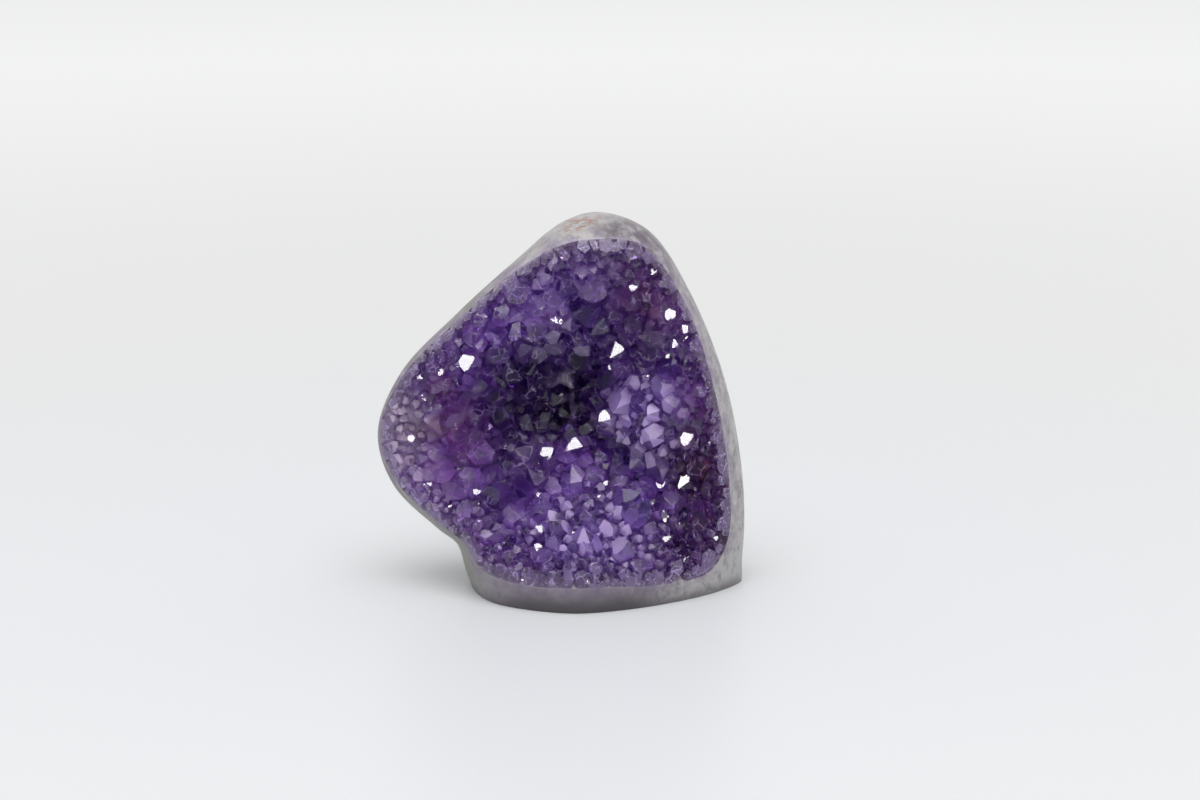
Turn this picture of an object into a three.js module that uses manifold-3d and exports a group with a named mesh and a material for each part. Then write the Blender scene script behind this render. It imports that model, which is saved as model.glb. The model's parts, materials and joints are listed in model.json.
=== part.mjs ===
// A cut-base amethyst cluster: a piece sawn from the wall of a geode, with its rim ground round and smooth and its
// foot sawn flat, so that it stands up with the crystal-lined hollow facing forwards (-Y).
//
// It is two solids. The matrix is the stone that the crystals grew on: a pebble-shaped body with a hollow in its
// front. The druse is the carpet of amethyst crystals that lines the hollow: every crystal overlaps its
// neighbours, so they are one solid, and it is ground flush with the stone where the rim was rounded off.
//
// Millimetres, +Z up, the foot on z = 0 and the crystals facing -Y.

import * as THREE from "three";
import { mergeVertices } from "three/addons/utils/BufferGeometryUtils.js";
import Module from "manifold-3d";

const wasm = await Module();
wasm.setup();

// Driving dimensions.
const FRONT_Y = -30; // the foremost point of the foot's edge
const BACK_Y = 30; // the rear of the back
const EQUATOR_Y = 3; // where the body is widest
const KEEL_X = 4; // the front is fullest along this line
const FOOT_HALF_WIDTH = 46; // from the keel to the foot's side corner
const LEAN = 17; // how far the front leans back from the foot to the top
const LEAN_HEIGHT = 104;
const FALL_LOW = 26; // how far the front falls away from the keel to the side corner, at the foot
const FALL_HIGH = 7; // the same at the top
const FALL_REACH = 1.1; // half widths from the keel beyond which the front falls no further
const FALL_POWER = 1.6; // the higher, the flatter the front is near the keel
const LEAN_POWER = 1.3; // the higher, the more upright the front is near the foot
const RIM_START = 0.66; // share of the way out from the middle at which the ground rim starts to turn back
const RIM_POWER = 3; // the higher, the later and rounder the rim turns back
const BACK_POWER = 2.9; // the higher, the fuller the back stays towards its edge
const BROAD_SWELLING = { high: 1.5, across: 11, up: 13 }; // of the rough back
const SMALL_SWELLING = { high: 0.8, across: 5, up: 7 };
const CENTRE = new THREE.Vector2(3, 44); // the middle that every outline is measured from, as x and z
const SEAT_GAP = 0.3; // clearance between the two solids
const RIM_CUT = 3; // how far forward of the ground front the hollow's wall runs, so that it opens cleanly
const MOUTH_REACH = 20; // how far the hollow's cutting solid stands out in front of the foot
const WALL_CLEARANCE = 0.01; // share by which the druse is drawn in from the hollow's wall
const HOLLOW_Y = 12; // depth of the hollow's floor
const HOLLOW_SQUARENESS = 3.2; // the higher, the flatter the floor and the steeper the walls
const MOUND_FADE = 6; // power of the way out at which the mounds die away at the wall
const DRUSE_THICKNESS = 4.5; // solid quartz under the crystal tips
const SAW_LOW = new THREE.Vector3(-80, -80, 0); // the space that is kept when the foot is sawn off
const SAW_HIGH = new THREE.Vector3(80, 80, 140);

// Mounds that swell out of the hollow's floor: middle, radius across and up, and how far forward they reach.
const MOUNDS = [
  { x: 9, z: 18, across: 18, up: 13, reach: 20 },
  { x: 20, z: 47, across: 13, up: 12, reach: 17 },
  { x: -27, z: 42, across: 14, up: 16, reach: 7 },
  { x: 2, z: 77, across: 16, up: 9, reach: 7 },
];

// Crystals: how they are sown and how big they are.
const CRYSTAL_SPACING = 6.7;
const CRYSTAL_TRIES = 9000;
const CRYSTAL_WIDTH = [6.8, 10];
const CRYSTAL_RISE = [5.5, 9]; // height of the tip above the seat
const CRYSTAL_ROOT = 2; // depth of a crystal's foot below the top of the solid quartz
const CRYSTAL_TILT = 0.34; // radians from square to the seat, at most
const CRYSTAL_LEAN = 0.25; // how far the tip lies off the axis, as a share of the crystal's radius, at most
const SOWN_TO = 0.985; // share of the way out to the hollow's wall within which crystals stand
const NORMAL_STEP = 0.02; // step in u and rho for the slope of the seat
const TIP_TOLERANCE = 1e-6;
const POINT_SLOPE = 1.27; // rise of the point over the inner radius, set by quartz's face angle of 51.8 degrees
const SEED = 71;

// Mesh steps.
const WELD = 1e-4; // corners closer than this are one
const AROUND = 56;
const FRONT_RINGS = 8;
const BACK_RINGS = 7;
const SEAT_AROUND = 48;
const SEAT_RINGS = 9;

// The stone's outline from the front, as x and z, clockwise from the top. It runs below z = 0, where the foot is sawn.
const STONE_OUTLINE = closedCurve([
  [10, 103.2], [23.6, 98.2], [35.1, 81], [45.2, 55], [49.9, 28], [50, 8], [47, -9], [12, -12], [-20, -9],
  [-26.2, 2.4], [-29.2, 11.6], [-34.5, 15.6], [-46.3, 27], [-50.6, 42], [-44.2, 58.6], [-28.8, 75],
  [-12.2, 90.2], [0.2, 100.4],
]);

// The hollow's outline, where stone gives way to crystal.
const HOLLOW_OUTLINE = closedCurve([
  [9.5, 98.2], [21.8, 96], [33.2, 80.5], [41.8, 55], [45.8, 30], [45.4, 14], [40.5, 6.8], [26, 5.8],
  [12, 7], [-12.5, 7.2], [-22.4, 9.6], [-27, 15.2], [-33.4, 19.2], [-45, 28.4], [-49.9, 42.2],
  [-43.8, 58], [-28.4, 74.4], [-12.4, 88.5], [0, 96.4],
]);

// A closed smooth curve through points given as x and z.
function closedCurve(points) {
  const places = points.map(([x, z]) => new THREE.Vector3(x, z, 0));
  return new THREE.CatmullRomCurve3(places, true, "centripetal");
}

// The point of an outline at a share u of its length, drawn in to a share rho of its distance from the middle.
function drawnIn(outline, u, rho) {
  const p = outline.getPointAt(u % 1);
  return new THREE.Vector2(p.x, p.y).sub(CENTRE).multiplyScalar(rho).add(CENTRE);
}

// Small repeatable random numbers from 0 to 1.
function randomSource(seed) {
  let state = seed >>> 0;
  return () => {
    state = (state + 0x6d2b79f5) >>> 0;
    let t = Math.imul(state ^ (state >>> 15), 1 | state);
    t = (t + Math.imul(t ^ (t >>> 7), 61 | t)) ^ t;
    return ((t ^ (t >>> 14)) >>> 0) / 4294967296;
  };
}

const between = ([low, high], share) => low + (high - low) * share;

// The ground front before its rim turns back: a keel that leans back as it rises and falls away to both sides.
// The fall is FALL_LOW at the foot and FALL_HIGH at the top, for one half width away from the keel.
function frontSheet(x, z) {
  const side = Math.min(Math.abs(x - KEEL_X) / FOOT_HALF_WIDTH, FALL_REACH);
  const height = THREE.MathUtils.clamp(z / LEAN_HEIGHT, 0, 1);
  const fall = THREE.MathUtils.lerp(FALL_LOW, FALL_HIGH, height);
  return FRONT_Y + LEAN * height ** LEAN_POWER + fall * side ** FALL_POWER;
}

// The ground front with its rounded rim, at a share rho of the way out to the stone's outline.
function frontY(x, z, rho) {
  const turn = THREE.MathUtils.clamp((rho - RIM_START) / (1 - RIM_START), 0, 1);
  return THREE.MathUtils.lerp(frontSheet(x, z), EQUATOR_Y, 1 - Math.sqrt(1 - turn ** RIM_POWER));
}

// The rough back: full in the middle, with broad low swellings.
function backY(x, z, rho) {
  const broad = BROAD_SWELLING.high * Math.sin(x / BROAD_SWELLING.across + 1) * Math.cos(z / BROAD_SWELLING.up);
  const small = SMALL_SWELLING.high * Math.sin(x / SMALL_SWELLING.across - z / SMALL_SWELLING.up);
  const full = BACK_Y - EQUATOR_Y - BROAD_SWELLING.high - SMALL_SWELLING.high;
  return EQUATOR_Y + (full + broad + small) * Math.sqrt(1 - rho ** BACK_POWER);
}

// The hollow's floor and walls, with its mounds, at a share rho of the way out to the hollow's outline.
function seatY(x, z, rho) {
  const atRim = frontSheet(x, z) - RIM_CUT;
  let y = THREE.MathUtils.lerp(HOLLOW_Y, atRim, rho ** HOLLOW_SQUARENESS);
  const fade = 1 - rho ** MOUND_FADE;
  for (const m of MOUNDS) {
    const near = ((x - m.x) / m.across) ** 2 + ((z - m.z) / m.up) ** 2;
    y -= fade * m.reach * Math.exp(-near);
  }
  return y;
}

// A point of the seat, raised by lift towards the opening.
function seatPoint(u, rho, lift = 0) {
  const p = drawnIn(HOLLOW_OUTLINE, u, rho);
  return new THREE.Vector3(p.x, seatY(p.x, p.y, rho) - lift, p.y);
}

// A closed mesh from rings of points: the first and last rings are single points.
function closedRings(rings) {
  const positions = rings.flat().flatMap((p) => [p.x, p.y, p.z]);
  const index = [];
  let start = 0;
  for (let i = 0; i + 1 < rings.length; i++) {
    const here = rings[i].length;
    const next = rings[i + 1].length;
    const steps = Math.max(here, next);
    for (let k = 0; k < steps; k++) {
      const a = start + (k % here);
      const b = start + ((k + 1) % here);
      const c = start + here + (k % next);
      const d = start + here + ((k + 1) % next);
      if (here > 1) index.push(a, b, c);
      if (next > 1) index.push(b, d, c);
    }
    start += here;
  }
  const geometry = new THREE.BufferGeometry();
  geometry.setAttribute("position", new THREE.Float32BufferAttribute(positions, 3));
  geometry.setIndex(index);
  return geometry;
}

// The boolean library's solid of a closed geometry, turned the right way out.
function solidOf(geometry) {
  const bare = geometry.clone();
  bare.deleteAttribute("normal");
  bare.deleteAttribute("uv");
  const merged = mergeVertices(bare, WELD);
  const make = (triVerts) =>
    new wasm.Manifold(
      new wasm.Mesh({ numProp: 3, vertProperties: new Float32Array(merged.attributes.position.array), triVerts }),
    );
  const solid = make(new Uint32Array(merged.index.array));
  if (solid.volume() > 0) return solid;
  return make(new Uint32Array(merged.index.array).reverse());
}

// A geometry of the boolean library's solid, with flat faces.
function geometryOf(solid) {
  const mesh = solid.getMesh();
  const positions = new Float32Array(mesh.numVert * 3);
  for (let i = 0; i < mesh.numVert; i++) {
    positions.set(mesh.vertProperties.subarray(i * mesh.numProp, i * mesh.numProp + 3), i * 3);
  }
  const geometry = new THREE.BufferGeometry();
  geometry.setAttribute("position", new THREE.BufferAttribute(positions, 3));
  geometry.setIndex(new THREE.BufferAttribute(mesh.triVerts, 1));
  const flat = geometry.toNonIndexed();
  flat.computeVertexNormals();
  return flat;
}

// One ring of points at u = 0, 1/count, 2/count and so on.
function ring(count, place) {
  return Array.from({ length: count }, (_, k) => place(k / count));
}

// The whole pebble-shaped block before it is sawn and hollowed: front, rounded rim and back.
function blockSolid() {
  const front = (rho) => (u) => {
    const p = drawnIn(STONE_OUTLINE, u, rho);
    return new THREE.Vector3(p.x, frontY(p.x, p.y, rho), p.y);
  };
  const back = (rho) => (u) => {
    const p = drawnIn(STONE_OUTLINE, u, rho);
    return new THREE.Vector3(p.x, backY(p.x, p.y, rho), p.y);
  };
  const rings = [ring(1, front(0))];
  for (let i = 1; i <= FRONT_RINGS; i++) {
    rings.push(ring(AROUND, front(Math.sin((Math.PI / 2) * (i / FRONT_RINGS)))));
  }
  for (let i = BACK_RINGS - 1; i > 0; i--) {
    rings.push(ring(AROUND, back(Math.sin((Math.PI / 2) * (i / BACK_RINGS)))));
  }
  rings.push(ring(1, back(0)));
  return solidOf(closedRings(rings));
}

// A box from its lowest and highest corners.
function boxSolid(low, high) {
  const size = high.clone().sub(low);
  const middle = high.clone().add(low).multiplyScalar(0.5);
  return solidOf(new THREE.BoxGeometry(size.x, size.y, size.z).translate(middle.x, middle.y, middle.z));
}

// The space in front of the seat raised by lift, out past the front of the stone, its wall drawn in by a clearance.
function hollowSolid(lift = 0, clearance = 0) {
  const wall = 1 - clearance;
  const rings = [ring(1, (u) => seatPoint(u, 0, lift))];
  for (let i = 1; i <= SEAT_RINGS; i++) {
    const rho = Math.sin((Math.PI / 2) * (i / SEAT_RINGS)) * wall;
    rings.push(ring(SEAT_AROUND, (u) => seatPoint(u, rho, lift)));
  }
  const mouthY = FRONT_Y - MOUTH_REACH;
  rings.push(ring(SEAT_AROUND, (u) => seatPoint(u, wall, lift).setY(mouthY)));
  rings.push([new THREE.Vector3(CENTRE.x, mouthY, CENTRE.y)]);
  return solidOf(closedRings(rings));
}

// The solid quartz that the crystal tips stand on: the seat, thickened towards the opening.
function druseBed() {
  const rings = [];
  const levels = (lift) => {
    const level = [];
    for (let i = 1; i <= SEAT_RINGS; i++) {
      const rho = Math.sin((Math.PI / 2) * (i / SEAT_RINGS));
      level.push(ring(SEAT_AROUND, (u) => seatPoint(u, rho, lift)));
    }
    return level;
  };
  rings.push(ring(1, (u) => seatPoint(u, 0, 0)), ...levels(0));
  rings.push(...levels(DRUSE_THICKNESS).reverse(), ring(1, (u) => seatPoint(u, 0, DRUSE_THICKNESS)));
  return solidOf(closedRings(rings));
}

// The direction square to the seat, towards the opening.
function seatNormal(u, rho) {
  const du = seatPoint(u + NORMAL_STEP, rho).sub(seatPoint(u + 1 - NORMAL_STEP, rho));
  const dr = seatPoint(u, Math.min(rho + NORMAL_STEP, 1)).sub(seatPoint(u, Math.max(rho - NORMAL_STEP, 0)));
  const normal = new THREE.Vector3().crossVectors(du, dr).normalize();
  return normal.y > 0 ? normal.negate() : normal;
}

// One quartz crystal standing on the origin along +Y: a six-sided prism under a six-sided point that is off centre.
function crystalGeometry(width, length, lean) {
  const radius = width / 2 / Math.cos(Math.PI / 6);
  const point = (width / 2) * POINT_SLOPE;
  const profile = [[0, 0], [radius, 0], [radius, length - point], [0, length]];
  const geometry = new THREE.LatheGeometry(profile.map(([r, y]) => new THREE.Vector2(r, y)), 6);
  const place = geometry.attributes.position;
  for (let i = 0; i < place.count; i++) {
    if (place.getY(i) > length - TIP_TOLERANCE) place.setX(i, place.getX(i) + lean * radius);
  }
  return geometry;
}

// The places where crystals stand: points scattered over the seat, none closer to another than the spacing.
function sownPlaces(random) {
  const places = [];
  for (let i = 0; i < CRYSTAL_TRIES; i++) {
    const u = random();
    const rho = Math.sqrt(random()) * SOWN_TO;
    const point = seatPoint(u, rho, DRUSE_THICKNESS);
    if (places.every((other) => other.point.distanceTo(point) > CRYSTAL_SPACING)) {
      places.push({ point, normal: seatNormal(u, rho) });
    }
  }
  return places;
}

// Every crystal of the druse, in place.
function crystalSolids() {
  const random = randomSource(SEED);
  return sownPlaces(random).map(({ point, normal }) => {
    const width = between(CRYSTAL_WIDTH, random());
    const length = between(CRYSTAL_RISE, random()) + CRYSTAL_ROOT;
    const geometry = crystalGeometry(width, length, (2 * random() - 1) * CRYSTAL_LEAN);
    const tilt = new THREE.Vector3(random() - 0.5, random() - 0.5, random() - 0.5).multiplyScalar(2 * CRYSTAL_TILT);
    const axis = normal.clone().add(tilt).normalize();
    const turn = new THREE.Quaternion().setFromAxisAngle(new THREE.Vector3(0, 1, 0), random() * Math.PI);
    const stand = new THREE.Quaternion().setFromUnitVectors(new THREE.Vector3(0, 1, 0), axis);
    const foot = point.clone().addScaledVector(axis, -CRYSTAL_ROOT);
    geometry.applyMatrix4(new THREE.Matrix4().compose(foot, stand.multiply(turn), new THREE.Vector3(1, 1, 1)));
    return solidOf(geometry);
  });
}

const block = blockSolid().intersect(boxSolid(SAW_LOW, SAW_HIGH));

// The stone: the sawn block with its hollow.
function matrixGeometry() {
  return geometryOf(block.subtract(hollowSolid()));
}

// The one body of a solid that holds most of it, with any sealed pocket filled.
function mainBody(solid) {
  const bodies = solid.decompose().sort((a, b) => b.volume() - a.volume());
  return bodies[0];
}

// The carpet of crystals: bed and crystals joined, kept clear of the stone and ground flush with its rim.
function druseGeometry() {
  const grown = wasm.Manifold.union([druseBed(), ...crystalSolids()]);
  return geometryOf(mainBody(grown.intersect(hollowSolid(SEAT_GAP, WALL_CLEARANCE)).intersect(block)));
}

const matrixMesh = new THREE.Mesh(
  matrixGeometry(),
  new THREE.MeshStandardMaterial({ color: 0x8f8c88, roughness: 0.45, metalness: 0 }),
);
matrixMesh.name = "stone_matrix";

const druseMesh = new THREE.Mesh(
  druseGeometry(),
  new THREE.MeshStandardMaterial({ color: 0x4a2a86, roughness: 0.08, metalness: 0 }),
);
druseMesh.name = "amethyst_druse";

const cluster = new THREE.Group();
cluster.add(matrixMesh, druseMesh);

// The part's origin is the middle of its bounding box, on the foot.
const middle = new THREE.Box3().setFromObject(cluster).getCenter(new THREE.Vector3());
cluster.position.set(-middle.x, -middle.y, 0);

export default cluster;
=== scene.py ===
"""A cut-base amethyst cluster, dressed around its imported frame.

Two pieces are made here. The stone is a pebble-shaped block with a ground rim, a rough natural back, a sawn
foot and a hollow in its front. The druse is the carpet of quartz crystals that lines the hollow: about 870
pointed crystals and the bed they stand on, joined in one see-through solid and ground flush with the stone.

Shapes are worked out in millimetres in the block's own axes (X to the right, Z up, the crystals facing -Y)
and are put into the meshes in metres in the row frame.
"""

import json
import logging
import math
from dataclasses import dataclass
from enum import Enum
from functools import reduce
from itertools import combinations

import bmesh
import bpy
import numpy as np
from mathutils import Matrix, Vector

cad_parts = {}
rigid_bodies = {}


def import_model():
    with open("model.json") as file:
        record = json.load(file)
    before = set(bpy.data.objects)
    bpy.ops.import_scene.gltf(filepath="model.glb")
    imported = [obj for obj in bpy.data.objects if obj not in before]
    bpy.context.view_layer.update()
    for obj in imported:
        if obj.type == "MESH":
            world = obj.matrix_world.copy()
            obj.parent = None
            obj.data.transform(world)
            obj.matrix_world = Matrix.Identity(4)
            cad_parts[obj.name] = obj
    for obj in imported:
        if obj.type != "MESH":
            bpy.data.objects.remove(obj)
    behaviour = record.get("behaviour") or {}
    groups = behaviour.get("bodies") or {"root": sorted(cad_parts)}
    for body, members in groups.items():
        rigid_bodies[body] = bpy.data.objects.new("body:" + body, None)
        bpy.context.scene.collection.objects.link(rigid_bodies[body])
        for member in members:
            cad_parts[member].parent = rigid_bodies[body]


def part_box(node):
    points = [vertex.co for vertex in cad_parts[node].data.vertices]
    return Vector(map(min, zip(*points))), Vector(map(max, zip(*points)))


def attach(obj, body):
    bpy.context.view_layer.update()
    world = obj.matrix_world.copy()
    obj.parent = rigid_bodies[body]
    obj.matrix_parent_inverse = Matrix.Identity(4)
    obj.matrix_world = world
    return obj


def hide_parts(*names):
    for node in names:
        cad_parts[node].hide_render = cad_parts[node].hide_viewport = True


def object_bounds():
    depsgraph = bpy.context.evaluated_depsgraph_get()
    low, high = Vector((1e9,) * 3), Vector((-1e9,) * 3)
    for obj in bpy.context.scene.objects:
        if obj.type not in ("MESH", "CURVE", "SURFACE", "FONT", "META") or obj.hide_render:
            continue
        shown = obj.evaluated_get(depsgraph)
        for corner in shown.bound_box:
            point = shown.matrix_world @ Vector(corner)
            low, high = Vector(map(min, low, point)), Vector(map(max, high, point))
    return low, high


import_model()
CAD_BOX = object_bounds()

LOG = logging.getLogger("amethyst")
MM = 0.001
Colour = tuple[float, float, float]


class Axis(Enum):
    """The block's own axes, by their place in a point."""

    ACROSS = 0
    BACK = 1
    UP = 2


# -----------------------------------------------------------------------------------------------------------
# Forms: formulas in millimetres
# -----------------------------------------------------------------------------------------------------------


def smooth_step(low: float, high: float, value: np.ndarray) -> np.ndarray:
    """0 up to low, 1 from high, and 3t^2 - 2t^3 between them."""
    t = np.clip((value - low) / (high - low), 0.0, 1.0)
    return t * t * (3.0 - 2.0 * t)


def blend(start: np.ndarray, end: np.ndarray, share: np.ndarray) -> np.ndarray:
    """start at share 0 and end at share 1."""
    return start + (end - start) * share


@dataclass(frozen=True)
class Outline:
    """A closed smooth curve in the X-Z plane: a centripetal Catmull-Rom curve through its points."""

    points: tuple[tuple[float, float], ...]
    steps: int = 60

    def dense(self) -> tuple[np.ndarray, np.ndarray]:
        """Close-set points on the curve.

        Each stretch from p1 to p2, with neighbours p0 and p3, is the cubic Hermite curve whose end slopes are
        those of a Catmull-Rom curve with knots spaced by the square root of the distances.

        Returns:
            The points, and the share of the curve's length at which each lies. The last point is the first.
        """
        p = np.asarray(self.points, float)
        p0, p1, p2, p3 = (np.roll(p, shift, axis=0) for shift in (1, 0, -1, -2))
        gap = [np.sqrt(np.linalg.norm(b - a, axis=1))[:, None] for a, b in ((p0, p1), (p1, p2), (p2, p3))]
        out = ((p1 - p0) / gap[0] - (p2 - p0) / (gap[0] + gap[1]) + (p2 - p1) / gap[1]) * gap[1]
        into = ((p2 - p1) / gap[1] - (p3 - p1) / (gap[1] + gap[2]) + (p3 - p2) / gap[2]) * gap[1]
        t = (np.arange(self.steps) / self.steps)[None, :, None]
        cubic = (2 * p1 - 2 * p2 + out + into)[:, None] * t**3
        square = (-3 * p1 + 3 * p2 - 2 * out - into)[:, None] * t**2
        curve = (cubic + square + out[:, None] * t + p1[:, None]).reshape(-1, 2)
        curve = np.vstack([curve, curve[:1]])
        length = np.concatenate([[0.0], np.cumsum(np.linalg.norm(np.diff(curve, axis=0), axis=1))])
        return curve, length / length[-1]

    def at(self, u: np.ndarray) -> np.ndarray:
        """Points at shares u of the curve's length, in a last axis of x and z."""
        curve, share = self.dense()
        turn = np.mod(u, 1.0)
        return np.stack([np.interp(turn, share, curve[:, k]) for k in (0, 1)], axis=-1)

    def reach(self, x: np.ndarray, z: np.ndarray, centre: np.ndarray) -> tuple[np.ndarray, np.ndarray]:
        """How far out a point lies between the middle and the curve.

        Args:
            x: across.
            z: up.
            centre: the middle, from which the curve is seen whole.

        Returns:
            The point's distance from the middle as a share of the curve's distance in that direction, and the
            curve's distance.
        """
        curve, _ = self.dense()
        arm = curve[:-1] - centre
        bearing = np.arctan2(arm[:, 1], arm[:, 0])
        order = np.argsort(bearing)
        bearing, radius = bearing[order], np.linalg.norm(arm, axis=1)[order]
        bearing = np.concatenate([bearing[-1:] - 2 * np.pi, bearing, bearing[:1] + 2 * np.pi])
        radius = np.concatenate([radius[-1:], radius, radius[:1]])
        out = np.interp(np.arctan2(z - centre[1], x - centre[0]), bearing, radius)
        return np.hypot(x - centre[0], z - centre[1]) / out, out


@dataclass(frozen=True)
class Grain:
    """Smooth random relief: values at the corners of a cubic lattice, joined by smooth steps."""

    seed: int

    def corner(self, cell: np.ndarray) -> np.ndarray:
        """A fixed random number from -1 to 1 for each whole-numbered corner, by a hash of its place."""
        c = cell.astype(np.int64).astype(np.uint64)
        h = (c[..., 0] * np.uint64(73856093) ^ c[..., 1] * np.uint64(19349663)
             ^ c[..., 2] * np.uint64(83492791))
        h = (h + np.uint64(self.seed * 2654435761)) & np.uint64(0xFFFFFFFF)
        for shift, factor in ((16, 0x45D9F3B), (16, 0x45D9F3B)):
            h = ((h ^ (h >> np.uint64(shift))) * np.uint64(factor)) & np.uint64(0xFFFFFFFF)
        h = h ^ (h >> np.uint64(16))
        return h.astype(np.float64) / 2147483647.5 - 1.0

    def at(self, points: np.ndarray, size: float) -> np.ndarray:
        """The relief at points for lattice cells of that size, from -1 to 1."""
        place = points / size
        cell = np.floor(place)
        t = place - cell
        t = t * t * (3.0 - 2.0 * t)
        total = np.zeros(points.shape[:-1])
        for corner in np.ndindex(2, 2, 2):
            side = np.asarray(corner, float)
            weight = np.prod(np.where(side > 0, t, 1.0 - t), axis=-1)
            total += weight * self.corner(cell + side)
        return total

    def layered(self, points: np.ndarray, size: float, layers: int) -> np.ndarray:
        """Relief of several sizes added up, each layer half as wide and half as high as the one before."""
        return sum(0.5**k * self.at(points + 7.3 * k, size * 0.5**k) for k in range(layers))


@dataclass(frozen=True)
class Swelling:
    """A round swelling over the X-Z plane: its middle, its radius across and up, and its height."""

    x: float
    z: float
    across: float
    up: float
    height: float

    def rise(self, x: np.ndarray, z: np.ndarray) -> np.ndarray:
        """height * exp(-((x - x0) / across)^2 - ((z - z0) / up)^2)."""
        return self.height * np.exp(-(((x - self.x) / self.across) ** 2) - ((z - self.z) / self.up) ** 2)


@dataclass(frozen=True)
class GeodeForm:
    """The formulas that the stone and the druse share, in millimetres in the block's own axes."""

    front_y: float = -30.0
    back_y: float = 30.0
    equator_y: float = 3.0
    keel_x: float = 4.0
    foot_half_width: float = 46.0
    lean: float = 17.0
    lean_height: float = 104.0
    lean_power: float = 1.3
    fall_foot: float = 26.0
    fall_top: float = 7.0
    fall_power: float = 1.6
    fall_reach: float = 1.1
    rim_start: float = 0.66
    rim_power: float = 3.0
    back_power: float = 2.9
    back_cut: float = 2.3
    broad_swelling: float = 1.5
    small_swelling: float = 0.8
    hollow_y: float = 12.0
    hollow_squareness: float = 3.2
    rim_cut: float = 3.0
    shelf_slope: float = 0.9
    shelf_width: float = 9.0
    centre: tuple[float, float] = (3.0, 44.0)
    mean_radius: float = 48.0
    mounds: tuple[Swelling, ...] = (
        Swelling(9, 18, 18, 13, 22),
        Swelling(20, 47, 13, 12, 20),
        Swelling(-27, 42, 14, 16, 8),
        Swelling(2, 77, 16, 9, 8),
    )
    mound_power: float = 6.0
    stone: Outline = Outline(
        (
            (10, 103.2), (23.6, 98.2), (35.1, 81), (45.2, 55), (49.9, 28), (50, 8), (47, -9), (12, -12),
            (-20, -9),
            (-26.2, 2.4), (-29.2, 11.6), (-34.5, 15.6), (-46.3, 27), (-50.6, 42), (-44.2, 58.6), (-28.8, 75),
            (-12.2, 90.2), (0.2, 100.4),
        )
    )  # fmt: skip
    hollow: Outline = Outline(
        (
            (9.5, 98.2), (21.8, 96), (33.2, 80.5), (41.8, 55), (45.8, 30), (45.4, 14), (40.5, 6.8), (26, 5.8),
            (12, 7.0), (-12.5, 7.2), (-22.4, 9.6), (-27.0, 15.2), (-33.4, 19.2), (-45.0, 28.4), (-49.9, 42.2),
            (-43.8, 58.0), (-28.4, 74.4), (-12.4, 88.5), (0, 96.4),
        )
    )  # fmt: skip

    @property
    def middle(self) -> np.ndarray:
        """The point that both outlines are measured from, as x and z."""
        return np.asarray(self.centre, float)

    def drawn_in(self, outline: Outline, u: np.ndarray, rho: np.ndarray) -> tuple[np.ndarray, np.ndarray]:
        """x and z of the outline's point at share u of its length, drawn in to share rho of the way out."""
        p = self.middle + (outline.at(u) - self.middle) * np.asarray(rho)[..., None]
        return p[..., 0], p[..., 1]

    def sheet(self, x: np.ndarray, z: np.ndarray) -> np.ndarray:
        """The ground front before its rim turns back: front_y + lean h^lean_power + fall(h) side^fall_power.

        h is the height as a share of lean_height, side is the distance from the keel as a share of the
        foot's half width, and the fall shrinks evenly from fall_foot at the foot to fall_top at
        lean_height.
        """
        side = np.minimum(np.abs(x - self.keel_x) / self.foot_half_width, self.fall_reach)
        h = np.clip(z / self.lean_height, 0.0, 1.0)
        fall = blend(self.fall_foot, self.fall_top, h)
        return self.front_y + self.lean * h**self.lean_power + fall * side**self.fall_power

    def front(self, x: np.ndarray, z: np.ndarray, inset: np.ndarray | float = 0.0) -> np.ndarray:
        """The ground front with its rounded rim, or the surface that lies inset inside it.

        From rim_start of the way out the sheet turns back to the widest line by 1 - sqrt(1 - t^rim_power),
        where t is the share of the rim that has been crossed. The inner surface is the same formula for a
        block drawn in by inset at the rim and at the front.
        """
        rho, radius = self.stone.reach(x, z, self.middle)
        turn = np.clip((rho * (1.0 + inset / radius) - self.rim_start) / (1.0 - self.rim_start), 0.0, 1.0)
        return blend(self.sheet(x, z), self.equator_y, 1.0 - np.sqrt(1.0 - turn**self.rim_power)) + inset

    def back(self, x: np.ndarray, z: np.ndarray, rho: np.ndarray) -> np.ndarray:
        """The rough back without its grain: equator_y + depth sqrt(1 - rho^back_power).

        depth swells by a broad wave, sin(x / 11 + 1) cos(z / 13), and a small one, sin(x / 5 - z / 7).
        """
        swelling = self.broad_swelling * np.sin(x / 11 + 1) * np.cos(z / 13)
        swelling = swelling + self.small_swelling * np.sin(x / 5 - z / 7)
        depth = self.back_y - self.equator_y + swelling - self.back_cut
        return self.equator_y + depth * np.sqrt(1.0 - rho**self.back_power)

    def seat(self, x: np.ndarray, z: np.ndarray, lift: float = 0.0) -> np.ndarray:
        """Where stone ends and quartz begins, raised by lift towards the opening.

        The bowl is hollow_y at the middle and passes the ground front at the rim by a power of the share
        rho of the way out, less its mounds, which flatten towards the rim. Next to the hollow's outline the
        quartz thins out to nothing over the stone instead: there the seat is the inner surface of the front
        whose inset grows by shelf_slope for each millimetre in from the outline.
        """
        rho, radius = self.hollow.reach(x, z, self.middle)
        out = np.minimum(rho, 1.0)
        bowl = blend(self.hollow_y, self.sheet(x, z) - self.rim_cut, out**self.hollow_squareness)
        bowl = bowl - (1.0 - out**self.mound_power) * sum(m.rise(x, z) for m in self.mounds)
        inside = (1.0 - rho) * radius
        shelf = self.front(x, z, self.shelf_slope * inside)
        return blend(shelf, np.maximum(bowl, shelf), smooth_step(0.0, self.shelf_width, inside)) - lift

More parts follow.
